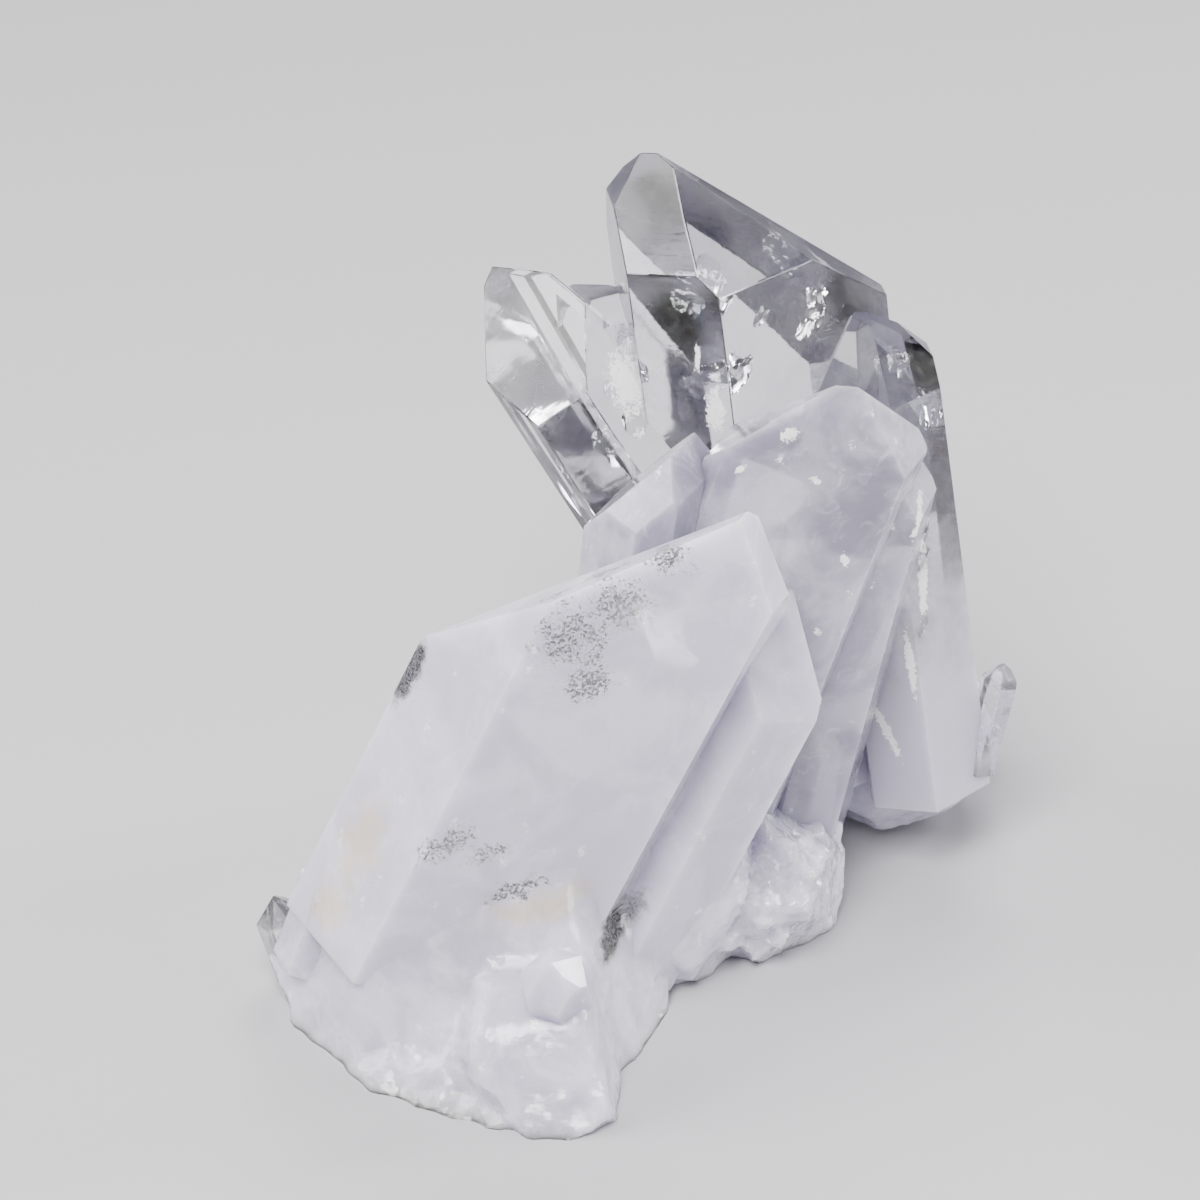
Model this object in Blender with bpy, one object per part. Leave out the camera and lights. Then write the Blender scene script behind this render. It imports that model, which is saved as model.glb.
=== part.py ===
"""Quartz crystal cluster: one broken-off group of grown-together points.

Metres, +Z up. The group rests on the flat contact patches of its rough base.
The front of the group faces -Y, and +X is to its right seen from the front.
"""

from math import cos, pi, radians, sin, tan
from random import Random

import bmesh
import bpy
from mathutils import Matrix, Vector
from mathutils.bvhtree import BVHTree

MM = 0.001
COLLECTION_NAME = "quartz_crystal"
NODE_NAME = "quartz_cluster"

# In quartz a tip face's normal always stands this far from the long axis,
# and both prism and tip faces repeat every sixth of a turn.
TIP_FACE_TILT = 51.79
FACE_STEP = pi / 3
BLANK_SIDE = 400.0  # side of the block that a crystal is cut from, mm

# Each point of the group, in millimetres and degrees.
# centre: a point on its axis level with the foot of the tip
# lean: how far the axis leans to +X and to +Y
# turn: where its first prism face looks, counted from +X about the axis
# prism, tip: distance of each face from the centre, along the face's normal
# root: how far the shaft runs down from the centre
# tip_tilt: the angle of a tip face that grew off the usual one, in degrees
# breaks: broken faces, as an outward direction and a distance from the centre
POINTS = {
    "front": {
        "centre": (3.0, -10.0, 47.7),
        "lean": (24.8, 1.5),
        "turn": -80.5,
        "prism": (12.5, 14.9, 15.5, 14.0, 13.4, 15.5),
        "tip": (22.0, 15.5, 12.0, 14.0, 2.3, 16.0),
        "root": 47.0,
        "breaks": [((-0.26, 0.68, 0.68), -1.6), ((0.87, 0.35, 0.35), 11.2)],
    },
    "front_side": {
        "centre": (14.5, -9.0, 34.5),
        "lean": (24.8, 4.0),
        "turn": -52.0,
        "prism": (7.2, 7.0, 7.0, 7.0, 7.0, 7.0),
        "tip": (5.6, 6.5, 7.0, 7.0, 6.0, 7.5),
        "root": 34.0,
    },
    "behind_front": {
        "centre": (7.6, -6.9, 52.7),
        "lean": (6.0, 0.0),
        "turn": -84.0,
        "prism": (6.3, 2.1, 6.0, 8.0, 8.0, 7.4),
        "tip": (7.4, 3.6, 6.0, 7.0, 4.3, 5.8),
        "root": 34.0,
    },
    "main": {
        "centre": (13.7, 20.3, 70.3),
        "lean": (-7.3, 4.0),
        "turn": -52.6,
        "prism": (9.9, 13.8, 13.0, 12.0, 12.5, 14.1),
        "tip": (6.3, 2.3, 0.1, 9.0, 13.0, 11.1),
        "tip_tilt": {1: 41.9, 2: 55.6},
        "root": 62.0,
    },
    "left": {
        "centre": (-3.7, 10.7, 53.9),
        "lean": (-36.4, 27.7),
        "turn": -101.8,
        "prism": (5.0, 6.0, 7.4, 11.0, 4.6, 4.3),
        "tip": (3.9, 9.4, 13.3, 17.0, 12.9, 8.4),
        "root": 24.0,
    },
    "left_back": {
        "centre": (4.6, 16.0, 54.0),
        "lean": (-36.4, 27.7),
        "turn": -101.8,
        "prism": (3.5, 6.0, 6.0, 5.0, 6.0, 6.0),
        "tip": (7.0, 6.5, 9.0, 9.0, 9.0, 9.0),
        "root": 24.0,
    },
    "middle": {
        "centre": (21.1, 0.8, 55.7),
        "lean": (17.5, 0.0),
        "turn": -80.5,
        "prism": (7.1, 10.0, 10.0, 9.0, 8.0, 12.9),
        "tip": (16.0, 8.7, 9.0, 10.0, 5.2, 16.0),
        "root": 54.0,
        "breaks": [((0.02, 0.71, 0.71), 1.8)],
    },
    "blade": {
        "centre": (27.5, 6.0, 46.5),
        "lean": (12.0, 2.0),
        "turn": -75.0,
        "prism": (7.0, 5.5, 6.0, 6.0, 6.0, 7.0),
        "tip": (8.0, 5.0, 6.0, 6.0, 5.0, 9.0),
        "root": 46.0,
    },
    "right": {
        "centre": (28.0, 14.0, 57.0),
        "lean": (-8.5, 1.0),
        "turn": -52.0,
        "prism": (6.0, 5.4, 6.0, 7.0, 7.0, 7.0),
        "tip": (3.6, 4.7, 3.8, 5.0, 5.0, 3.8),
        "root": 48.5,
    },
    "back": {
        "centre": (24.4, 28.6, 39.5),
        "lean": (6.0, 17.0),
        "turn": -48.0,
        "prism": (9.0, 8.5, 9.0, 9.5, 8.0, 9.0),
        "tip": (7.0, 9.0, 4.5, 6.0, 9.0, 7.5),
        "root": 34.0,
    },
    "back_left": {
        "centre": (-1.0, 14.0, 22.0),
        "lean": (-24.0, 20.0),
        "turn": -70.0,
        "prism": (7.5, 7.0, 8.0, 7.5, 7.0, 8.0),
        "tip": (7.0, 6.0, 5.0, 4.0, 5.5, 7.0),
        "root": 30.0,
    },
    "back_low": {
        "centre": (9.5, 31.0, 16.0),
        "lean": (-10.0, 24.0),
        "turn": -64.0,
        "prism": (4.6, 5.2, 4.4, 4.8, 5.3, 4.6),
        "tip": (4.4, 3.6, 4.6, 3.2, 4.9, 4.0),
        "root": 15.0,
    },
    "back_foot": {
        "centre": (20.5, 32.5, 9.5),
        "lean": (8.0, 30.0),
        "turn": -40.0,
        "prism": (3.2, 2.8, 3.4, 3.0, 2.9, 3.3),
        "tip": (2.6, 3.1, 2.2, 2.9, 2.4, 3.0),
        "root": 10.0,
    },
    "back_mid": {
        "centre": (-3.5, 23.0, 13.5),
        "lean": (-26.0, 30.0),
        "turn": -85.0,
        "prism": (3.9, 4.3, 3.7, 4.1, 4.4, 3.8),
        "tip": (3.4, 2.6, 3.9, 3.3, 2.9, 3.8),
        "root": 13.0,
    },
    "behind_left": {
        "centre": (-15.5, 6.5, 12.5),
        "lean": (-14.0, 26.0),
        "turn": -75.0,
        "prism": (3.3, 3.7, 3.1, 3.5, 3.8, 3.2),
        "tip": (2.9, 3.4, 2.5, 3.1, 2.7, 3.3),
        "root": 11.0,
    },
    "side_small": {
        "centre": (41.4, 12.0, 21.0),
        "lean": (12.0, 8.0),
        "turn": -60.0,
        "prism": (1.7, 1.9, 1.7, 1.8, 1.6, 1.7),
        "tip": (1.4, 1.9, 1.6, 1.5, 1.5, 1.3),
        "root": 10.0,
    },
    "embedded": {
        "centre": (-4.4, -31.5, 13.8),
        "lean": (-10.0, -34.0),
        "turn": -110.0,
        "prism": (3.2, 2.8, 3.0, 3.0, 2.8, 3.1),
        "tip": (2.0, 2.9, 2.6, 2.6, 2.5, 2.4),
        "root": 7.0,
    },
    "left_foot": {
        "centre": (-26.2, -15.0, 13.2),
        "lean": (20.0, 2.0),
        "turn": -95.0,
        "prism": (3.6, 3.2, 3.5, 3.4, 3.2, 3.4),
        "tip": (2.9, 3.2, 3.0, 2.8, 2.2, 3.4),
        "root": 9.0,
    },
    "left_clear": {
        "centre": (-32.2, -12.5, 8.2),
        "lean": (-14.0, -6.0),
        "turn": -80.0,
        "prism": (2.4, 2.2, 2.4, 2.2, 2.2, 2.3),
        "tip": (2.2, 2.0, 1.9, 2.1, 1.8, 2.0),
        "root": 8.0,
    },
}

# Broad flat breaks that shape the masses below: outward direction, distance from the origin in mm.
BREAKS = {
    "front_left": ((-0.33, -0.62, 0.71), 26.8),
    "left_band": ((-0.70, -0.63, 0.34), 35.6),
    "left_low": ((-0.76, -0.55, 0.34), 34.5),
    "front_step": ((-0.10, -0.92, 0.38), 29.1),
    "right_flank": ((0.86, -0.38, 0.34), 12.7),
    "nose_top": ((-0.10, -0.35, 0.93), 21.0),
    "nose_front": ((-0.04, -0.84, 0.54), 32.9),
    "nose_side": ((0.95, -0.10, 0.30), 5.3),
}

# Broken masses that the points grow from: centre and half sizes in mm, and the breaks that cut them.
MASSES = {
    "front_left": (
        (-13.0, -19.0, 5.0), (22.0, 20.0, 17.0), ("front_left", "left_band", "left_low", "right_flank")
    ),
    "front_step": (
        (-12.0, -19.0, 6.0), (19.0, 15.0, 17.0), ("front_step", "left_band", "left_low", "right_flank")
    ),
    "nose": ((-5.0, -28.8, 4.0), (8.4, 12.0, 12.0), ("nose_front", "nose_side", "nose_top")),
    "left": ((-22.0, -17.0, 5.0), (12.0, 13.0, 11.0), ("front_left", "left_band", "left_low")),
    "back_left": ((-14.0, -4.0, 5.0), (16.0, 13.0, 11.0), ("left_band",)),
    "middle": ((5.0, -3.0, 9.0), (13.0, 14.0, 15.0), ()),
    "right_lobe": ((15.5, -1.2, 6.0), (9.8, 10.2, 9.8), ()),
    "under_main": ((13.5, 14.0, 9.0), (12.0, 16.0, 13.0), ()),
    "right": ((31.5, 21.0, 10.0), (11.0, 11.5, 10.5), ()),
    "back": ((8.0, 22.0, 8.0), (16.0, 14.0, 11.0), ()),
}
MASS_FACES = 22  # broken faces around each mass
MASS_JITTER = 0.14  # how unevenly they stand in from the rounded shape
MASS_SWING = 0.4  # how unevenly they are turned about the upright, radians

# Hollows broken out of the underside: centre and half sizes in mm.
HOLLOWS = [
    ((5.0, 1.0, -1.0), (11.0, 10.0, 3.4)),
    ((-21.0, -11.0, -1.0), (8.0, 9.0, 2.8)),
    ((18.0, 22.0, -1.0), (8.0, 9.0, 3.0)),
    ((-4.0, -27.0, -0.8), (6.0, 5.5, 2.2)),
]

# Small chips and grains that stand on the broken surface.
# around: how many are spread all round the base
# lobe: how many more crowd on the sugary lobe at the lower right
CHIPS = {"around": 110, "lobe": 26}
CHIP_HALF_SIZE = (0.7, 1.7)  # smallest and largest, mm
CHIP_STRETCH = (0.7, 1.3)  # how a chip's three half sizes differ from that
CHIP_AIMS = ((-24, 30), (-20, 22), (1, 14))  # spread of the points that chips look out from, mm
CHIP_RISE = {"around": (-0.1, 0.5), "lobe": (-0.3, 1.2)}  # how steeply they look up: rise over run
SMOOTH_FRONT = (-20.0, 3.5)  # forward of this y and above this height the breaks stay smooth, mm
CHIP_FACES = 11
CHIP_SINK = 0.45  # how far a chip is sunk into the surface, as a share of its half size
LOBE_CENTRE = (17.5, -3.5, 8.0)
GOLDEN_ANGLE = pi * (3 - 5**0.5)


def material(name, color, roughness):
    """A see-through stone-like material of the given colour."""
    made = bpy.data.materials.new(name)
    made.use_nodes = True
    shader = made.node_tree.nodes["Principled BSDF"]
    shader.inputs["Base Color"].default_value = (*color, 1.0)
    shader.inputs["Roughness"].default_value = roughness
    shader.inputs["IOR"].default_value = 1.544
    made.diffuse_color = (*color, 1.0)
    return made


def mesh_object(name, mesh_builder, collection):
    """A mesh object holding what mesh_builder made."""
    mesh_builder.normal_update()
    mesh = bpy.data.meshes.new(name)
    mesh_builder.to_mesh(mesh)
    mesh_builder.free()
    obj = bpy.data.objects.new(name, mesh)
    collection.objects.link(obj)
    return obj


def axis_frame(lean):
    """The long axis and two directions square to it."""
    along = Vector((tan(radians(lean[0])), tan(radians(lean[1])), 1.0)).normalized()
    side = Vector((1.0, 0.0, 0.0))
    side = (side - side.dot(along) * along).normalized()
    return along, side, along.cross(side)


def cut_away(mesh_builder, point, normal):
    """Removes what lies beyond a plane and closes the cut."""
    geometry = mesh_builder.verts[:] + mesh_builder.edges[:] + mesh_builder.faces[:]
    cut = bmesh.ops.bisect_plane(
        mesh_builder, geom=geometry, plane_co=point, plane_no=normal, clear_outer=True
    )
    rim = [item for item in cut["geom_cut"] if isinstance(item, bmesh.types.BMEdge)]
    if rim:
        bmesh.ops.contextual_create(mesh_builder, geom=rim)


def crystal(name, shape, collection):
    """A six-sided point with its tip faces, cut from a block."""
    along, side, across = axis_frame(shape["lean"])
    centre = Vector(shape["centre"])
    block = bmesh.new()
    bmesh.ops.create_cube(block, size=BLANK_SIDE, matrix=Matrix.Translation(centre))
    tilts = shape.get("tip_tilt", {})
    for index in range(6):
        angle = radians(shape["turn"]) + index * FACE_STEP
        outward = cos(angle) * side + sin(angle) * across
        cut_away(block, centre + shape["prism"][index] * outward, outward)
        tilt = radians(tilts.get(index, TIP_FACE_TILT))
        upward = sin(tilt) * outward + cos(tilt) * along
        cut_away(block, centre + shape["tip"][index] * upward, upward)
    for direction, distance in shape.get("breaks", []):
        outward = Vector(direction).normalized()
        cut_away(block, centre + distance * outward, outward)
    cut_away(block, centre - shape["root"] * along, -along)
    bmesh.ops.triangulate(block, faces=block.faces)
    return mesh_object(name, block, collection)


def broken_mass(name, centre, half_sizes, faces, breaks, collection):
    """A mass with flat breaks around a rounded shape, and the broad breaks given."""
    middle = Vector(centre)
    uneven = Random(name)
    start = uneven.uniform(0, 2 * pi)
    block = bmesh.new()
    bmesh.ops.create_cube(block, size=BLANK_SIDE, matrix=Matrix.Translation(middle))
    for index in range(faces):
        height = 1 - 2 * (index + 0.5) / faces
        ring = (1 - height * height) ** 0.5
        angle = start + index * GOLDEN_ANGLE + uneven.uniform(-MASS_SWING, MASS_SWING)
        outward = Vector((ring * cos(angle), ring * sin(angle), height))
        reach = Vector(a * b for a, b in zip(outward, half_sizes)).length
        cut_away(block, middle + outward * reach * (1 - uneven.uniform(0, MASS_JITTER)), outward)
    for direction, distance in breaks:
        outward = Vector(direction).normalized()
        cut_away(block, outward * distance, outward)
    bmesh.ops.triangulate(block, faces=block.faces)
    return mesh_object(name, block, collection)


def chips(base, collection):
    """Small broken grains set into the base's surface, first all round it and then on the lobe."""
    surface = BVHTree.FromPolygons(
        [vert.co.copy() for vert in base.data.vertices],
        [tuple(polygon.vertices) for polygon in base.data.polygons],
    )
    uneven = Random("chips")
    made = []
    for place, count in CHIPS.items():
        for number in range(count):
            turn = uneven.uniform(0, 2 * pi)
            if place == "around":
                aim = Vector([uneven.uniform(*spread) for spread in CHIP_AIMS])
            else:
                aim = Vector(LOBE_CENTRE)
            outward = Vector((cos(turn), sin(turn), uneven.uniform(*CHIP_RISE[place]))).normalized()
            hit, normal = surface.ray_cast(aim + outward * BLANK_SIDE, -outward)[:2]
            if hit is None or (hit.y < SMOOTH_FRONT[0] and hit.z > SMOOTH_FRONT[1]):
                continue
            size = uneven.uniform(*CHIP_HALF_SIZE)
            half_sizes = [size * uneven.uniform(*CHIP_STRETCH) for _ in range(3)]
            centre = hit - normal * size * CHIP_SINK
            made.append(
                broken_mass(f"chip_{place}_{number}", centre, half_sizes, CHIP_FACES, (), collection)
            )
    return made


def applied(obj):
    """The object's mesh with its modifiers applied."""
    bpy.context.view_layer.update()
    graph = bpy.context.evaluated_depsgraph_get()
    return bpy.data.meshes.new_from_object(obj.evaluated_get(graph))


def join(target, other, operation):
    """Applies one Boolean of two closed meshes to the target's mesh."""
    modifier = target.modifiers.new(other.name, "BOOLEAN")
    modifier.object = other
    modifier.operation = operation
    modifier.solver = "MANIFOLD"
    joined = applied(target)
    target.modifiers.clear()
    target.data = joined


def rest_on_origin(obj):
    """Moves the mesh so that its box stands on the origin, centred, and turns it to metres."""
    corners = [vert.co for vert in obj.data.vertices]
    low = Vector(min(co[axis] for co in corners) for axis in range(3))
    high = Vector(max(co[axis] for co in corners) for axis in range(3))
    shift = Vector(((low.x + high.x) / 2, (low.y + high.y) / 2, low.z))
    obj.data.transform(Matrix.Scale(MM, 4) @ Matrix.Translation(-shift))


def main():
    for old in list(bpy.data.objects):
        bpy.data.objects.remove(old, do_unlink=True)
    parts = bpy.data.collections.new(COLLECTION_NAME)
    cutters = bpy.data.collections.new("cutters")
    for group in (parts, cutters):
        bpy.context.scene.collection.children.link(group)

    cluster = mesh_object(NODE_NAME, bmesh.new(), parts)
    masses = [
        broken_mass(
            "mass_" + name, centre, half_sizes, MASS_FACES, [BREAKS[cut] for cut in cuts], cutters
        )
        for name, (centre, half_sizes, cuts) in MASSES.items()
    ]
    cluster.data = masses[0].data.copy()
    for mass in masses[1:]:
        join(cluster, mass, "UNION")
    for chip in chips(cluster, cutters):
        join(cluster, chip, "UNION")
    for name, shape in POINTS.items():
        join(cluster, crystal("point_" + name, shape, cutters), "UNION")
    for number, (centre, half_sizes) in enumerate(HOLLOWS):
        hollow = broken_mass(f"hollow_{number}", centre, half_sizes, MASS_FACES, (), cutters)
        join(cluster, hollow, "DIFFERENCE")
    below = bmesh.new()
    bmesh.ops.create_cube(below, size=BLANK_SIDE)
    bmesh.ops.translate(below, vec=(0, 0, -BLANK_SIDE / 2), verts=below.verts)
    join(cluster, mesh_object("below_rest", below, cutters), "DIFFERENCE")
    rest_on_origin(cluster)
    cluster.data.name = NODE_NAME
    cluster.data.materials.clear()
    cluster.data.materials.append(material("quartz", (0.80, 0.79, 0.83), 0.12))
    for helper in cutters.objects:
        helper.hide_render = True
        helper.display_type = "WIRE"


main()
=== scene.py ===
from math import cos, pi, radians, sin, tan
from random import Random

import bmesh
import bpy
from mathutils import Matrix, Vector, noise
from mathutils.bvhtree import BVHTree


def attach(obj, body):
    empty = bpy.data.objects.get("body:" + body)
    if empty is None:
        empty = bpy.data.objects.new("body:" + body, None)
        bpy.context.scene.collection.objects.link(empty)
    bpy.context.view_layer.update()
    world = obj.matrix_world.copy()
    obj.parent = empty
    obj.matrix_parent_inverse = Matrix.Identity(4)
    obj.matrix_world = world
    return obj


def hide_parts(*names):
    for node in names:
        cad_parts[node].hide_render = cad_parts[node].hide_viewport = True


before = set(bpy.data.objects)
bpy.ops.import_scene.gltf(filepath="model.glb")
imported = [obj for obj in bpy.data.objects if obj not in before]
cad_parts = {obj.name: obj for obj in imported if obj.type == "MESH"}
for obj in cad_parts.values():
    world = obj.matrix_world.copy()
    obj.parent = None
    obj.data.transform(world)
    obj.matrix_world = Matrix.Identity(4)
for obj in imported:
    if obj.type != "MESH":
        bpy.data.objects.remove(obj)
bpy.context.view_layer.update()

# Lengths are in millimetres until the finished piece is scaled to metres.
MM = 0.001
# Where the model's origin stands in the space that the points are laid out in.
ORIGIN = Vector((4.350, -0.823, 0.0))

# In quartz a tip face's normal always stands this far from the long axis,
# and both prism and tip faces repeat every sixth of a turn.
TIP_FACE_TILT = 51.79
FACE_STEP = pi / 3
BLANK_SIDE = 400.0  # side of the block that a crystal is cut from, mm

# Each point of the group, in millimetres and degrees.
# centre: a point on its axis level with the foot of the tip
# lean: how far the axis leans to +X and to +Y
# turn: where its first prism face looks, counted from +X about the axis
# prism, tip: distance of each face from the centre, along the face's normal
# root: how far the shaft runs down from the centre
# tip_tilt: the angle of a tip face that grew off the usual one, in degrees
# breaks: broken faces, as an outward direction and a distance from the centre
POINTS = {
    "front": {
        "centre": (3.0, -10.0, 47.7),
        "lean": (24.8, 1.5),
        "turn": -80.5,
        "prism": (12.5, 14.9, 15.5, 14.0, 13.4, 15.5),
        "tip": (22.0, 15.5, 12.0, 14.0, 2.3, 16.0),
        "root": 47.0,
        "breaks": [((-0.26, 0.68, 0.68), -1.6), ((0.87, 0.35, 0.35), 11.2)],
    },
    "front_side": {
        "centre": (14.5, -9.0, 34.5),
        "lean": (24.8, 4.0),
        "turn": -52.0,
        "prism": (7.2, 7.0, 7.0, 7.0, 7.0, 7.0),
        "tip": (5.6, 6.5, 7.0, 7.0, 6.0, 7.5),
        "root": 34.0,
    },
    "behind_front": {
        "centre": (7.6, -6.9, 52.7),
        "lean": (6.0, 0.0),
        "turn": -84.0,
        "prism": (6.3, 2.1, 6.0, 8.0, 8.0, 7.4),
        "tip": (7.4, 3.6, 6.0, 7.0, 4.3, 5.8),
        "root": 34.0,
    },
    "main": {
        "centre": (13.7, 20.3, 70.3),
        "lean": (-7.3, 4.0),
        "turn": -52.6,
        "prism": (9.9, 13.8, 13.0, 12.0, 12.5, 14.1),
        "tip": (6.3, 2.3, 0.1, 9.0, 13.0, 11.1),
        "tip_tilt": {1: 41.9, 2: 55.6},
        "root": 62.0,
    },
    "left": {
        "centre": (-3.7, 10.7, 53.9),
        "lean": (-36.4, 27.7),
        "turn": -101.8,
        "prism": (5.0, 6.0, 7.4, 11.0, 4.6, 4.3),
        "tip": (3.9, 9.4, 13.3, 17.0, 12.9, 8.4),
        "root": 24.0,
    },
    "left_back": {
        "centre": (4.6, 16.0, 54.0),
        "lean": (-36.4, 27.7),
        "turn": -101.8,
        "prism": (3.5, 6.0, 6.0, 5.0, 6.0, 6.0),
        "tip": (7.0, 6.5, 9.0, 9.0, 9.0, 9.0),
        "root": 24.0,
    },
    "middle": {
        "centre": (21.1, 0.8, 55.7),
        "lean": (17.5, 0.0),
        "turn": -80.5,
        "prism": (7.1, 10.0, 10.0, 9.0, 8.0, 12.9),
        "tip": (16.0, 8.7, 9.0, 10.0, 5.2, 16.0),
        "root": 54.0,
        "breaks": [((0.02, 0.71, 0.71), 1.8)],
    },
    "blade": {
        "centre": (27.5, 6.0, 46.5),
        "lean": (12.0, 2.0),
        "turn": -75.0,
        "prism": (7.0, 5.5, 6.0, 6.0, 6.0, 7.0),
        "tip": (8.0, 5.0, 6.0, 6.0, 5.0, 9.0),
        "root": 46.0,
    },
    "right": {
        "centre": (28.0, 14.0, 57.0),
        "lean": (-8.5, 1.0),
        "turn": -52.0,
        "prism": (6.0, 5.4, 6.0, 7.0, 7.0, 7.0),
        "tip": (3.6, 4.7, 3.8, 5.0, 5.0, 3.8),
        "root": 48.5,
    },
    "back": {
        "centre": (24.4, 28.6, 39.5),
        "lean": (6.0, 17.0),
        "turn": -48.0,
        "prism": (9.0, 8.5, 9.0, 9.5, 8.0, 9.0),
        "tip": (7.0, 9.0, 4.5, 6.0, 9.0, 7.5),
        "root": 34.0,
    },
    "back_left": {
        "centre": (-1.0, 14.0, 22.0),
        "lean": (-24.0, 20.0),
        "turn": -70.0,
        "prism": (7.5, 7.0, 8.0, 7.5, 7.0, 8.0),
        "tip": (7.0, 6.0, 5.0, 4.0, 5.5, 7.0),
        "root": 30.0,
    },
    "back_low": {
        "centre": (9.5, 31.0, 16.0),
        "lean": (-10.0, 24.0),
        "turn": -64.0,
        "prism": (4.6, 5.2, 4.4, 4.8, 5.3, 4.6),
        "tip": (4.4, 3.6, 4.6, 3.2, 4.9, 4.0),
        "root": 15.0,
    },
    "back_foot": {
        "centre": (20.5, 32.5, 9.5),
        "lean": (8.0, 30.0),
        "turn": -40.0,
        "prism": (3.2, 2.8, 3.4, 3.0, 2.9, 3.3),
        "tip": (2.6, 3.1, 2.2, 2.9, 2.4, 3.0),
        "root": 10.0,
    },
    "back_mid": {
        "centre": (-3.5, 23.0, 13.5),
        "lean": (-26.0, 30.0),
        "turn": -85.0,
        "prism": (3.9, 4.3, 3.7, 4.1, 4.4, 3.8),
        "tip": (3.4, 2.6, 3.9, 3.3, 2.9, 3.8),
        "root": 13.0,
    },
    "behind_left": {
        "centre": (-15.5, 6.5, 12.5),
        "lean": (-14.0, 26.0),
        "turn": -75.0,
        "prism": (3.3, 3.7, 3.1, 3.5, 3.8, 3.2),
        "tip": (2.9, 3.4, 2.5, 3.1, 2.7, 3.3),
        "root": 11.0,
    },
    "side_small": {
        "centre": (41.4, 12.0, 21.0),
        "lean": (12.0, 8.0),
        "turn": -60.0,
        "prism": (1.7, 1.9, 1.7, 1.8, 1.6, 1.7),
        "tip": (1.4, 1.9, 1.6, 1.5, 1.5, 1.3),
        "root": 10.0,
    },
    "embedded": {
        "centre": (-4.4, -31.5, 13.8),
        "lean": (-10.0, -34.0),
        "turn": -110.0,
        "prism": (3.2, 2.8, 3.0, 3.0, 2.8, 3.1),
        "tip": (2.0, 2.9, 2.6, 2.6, 2.5, 2.4),
        "root": 7.0,
    },
    "left_foot": {
        "centre": (-26.2, -15.0, 13.2),
        "lean": (20.0, 2.0),
        "turn": -95.0,
        "prism": (3.6, 3.2, 3.5, 3.4, 3.2, 3.4),
        "tip": (2.9, 3.2, 3.0, 2.8, 2.2, 3.4),
        "root": 9.0,
    },
    "left_clear": {
        "centre": (-32.2, -12.5, 8.2),
        "lean": (-14.0, -6.0),
        "turn": -80.0,
        "prism": (2.4, 2.2, 2.4, 2.2, 2.2, 2.3),
        "tip": (2.2, 2.0, 1.9, 2.1, 1.8, 2.0),
        "root": 8.0,
    },
}

# Broad flat breaks that shape the masses below: outward direction, distance from the origin in mm.
BREAKS = {
    "front_left": ((-0.33, -0.62, 0.71), 26.8),
    "left_band": ((-0.70, -0.63, 0.34), 35.6),
    "left_low": ((-0.76, -0.55, 0.34), 34.5),
    "front_step": ((-0.10, -0.92, 0.38), 29.1),
    "right_flank": ((0.86, -0.38, 0.34), 12.7),
    "nose_top": ((-0.10, -0.35, 0.93), 21.0),
    "nose_front": ((-0.04, -0.84, 0.54), 32.9),
    "nose_side": ((0.95, -0.10, 0.30), 5.3),
}

# Broken masses that the points grow from: centre and half sizes in mm, and the breaks that cut them.
MASSES = {
    "front_left": (
        (-13.0, -19.0, 5.0), (22.0, 20.0, 17.0), ("front_left", "left_band", "left_low", "right_flank")
    ),
    "front_step": (
        (-12.0, -19.0, 6.0), (19.0, 15.0, 17.0), ("front_step", "left_band", "left_low", "right_flank")
    ),
    "nose": ((-5.0, -28.8, 4.0), (8.4, 12.0, 12.0), ("nose_front", "nose_side", "nose_top")),
    "left": ((-22.0, -17.0, 5.0), (12.0, 13.0, 11.0), ("front_left", "left_band", "left_low")),
    "back_left": ((-14.0, -4.0, 5.0), (16.0, 13.0, 11.0), ("left_band",)),
    "middle": ((5.0, -3.0, 9.0), (13.0, 14.0, 15.0), ()),
    "right_lobe": ((15.5, -1.2, 6.0), (9.8, 10.2, 9.8), ()),
    "under_main": ((13.5, 14.0, 9.0), (12.0, 16.0, 13.0), ()),
    "right": ((31.5, 21.0, 10.0), (11.0, 11.5, 10.5), ()),
    "back": ((8.0, 22.0, 8.0), (16.0, 14.0, 11.0), ()),
}
MASS_FACES = 22  # broken faces around each mass
MASS_JITTER = 0.14  # how unevenly they stand in from the rounded shape
MASS_SWING = 0.4  # how unevenly they are turned about the upright, radians

# Hollows broken out of the underside: centre and half sizes in mm.
HOLLOWS = [
    ((5.0, 1.0, -1.0), (11.0, 10.0, 3.4)),
    ((-21.0, -11.0, -1.0), (8.0, 9.0, 2.8)),
    ((18.0, 22.0, -1.0), (8.0, 9.0, 3.0)),
    ((-4.0, -27.0, -0.8), (6.0, 5.5, 2.2)),
]

# Small chips and grains that stand on the broken surface.
# around: how many are spread all round the base
# lobe: how many more crowd on the sugary lobe at the lower right
CHIPS = {"around": 110, "lobe": 26}
CHIP_HALF_SIZE = (0.7, 1.7)  # smallest and largest, mm
CHIP_STRETCH = (0.7, 1.3)  # how a chip's three half sizes differ from that
CHIP_AIMS = ((-24, 30), (-20, 22), (1, 14))  # spread of the points that chips look out from, mm
CHIP_RISE = {"around": (-0.1, 0.5), "lobe": (-0.3, 1.2)}  # how steeply they look up: rise over run
SMOOTH_FRONT = (-20.0, 3.5)  # forward of this y and above this height the breaks stay smooth, mm
CHIP_FACES = 11
CHIP_SINK = 0.45  # how far a chip is sunk into the surface, as a share of its half size
LOBE_CENTRE = Vector((17.5, -3.5, 8.0))
SUGARY_RADII = (11.0, 12.0, 9.0)
GOLDEN_ANGLE = pi * (3 - 5**0.5)

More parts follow.
